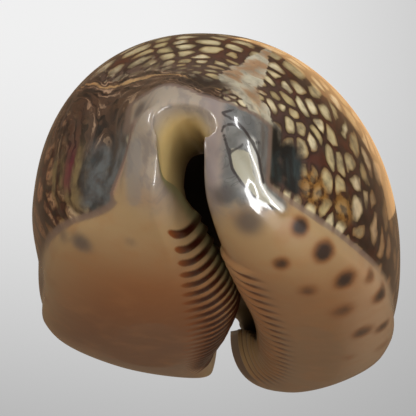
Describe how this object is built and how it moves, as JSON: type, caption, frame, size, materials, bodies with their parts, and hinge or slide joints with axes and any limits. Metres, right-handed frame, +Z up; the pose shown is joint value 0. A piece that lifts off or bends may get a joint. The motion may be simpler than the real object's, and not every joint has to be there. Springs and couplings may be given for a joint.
{
  "type": "cowrie shell",
  "caption": "Egg-shaped sea snail shell with a domed glossy back, a flat base of two rounded lobes, and a long toothed slit between them that ends in a canal at each tip.",
  "frame": {"origin": "centre of the outline seen from above, on the plane that the base rests on", "axes": "+Z up from the base to the back, +Y along the slit towards the front canal, +X towards the outer toothed lip"},
  "size_m": [0.0428, 0.066, 0.033],
  "materials": {
    "shell": "naturally glossy aragonite: a brown net over pale cells on the back, fawn lobes with blurred dark spots, red-brown teeth"
  },
  "bodies": {
    "root": {"shell": "shell"}
  },
  "joints": []
}
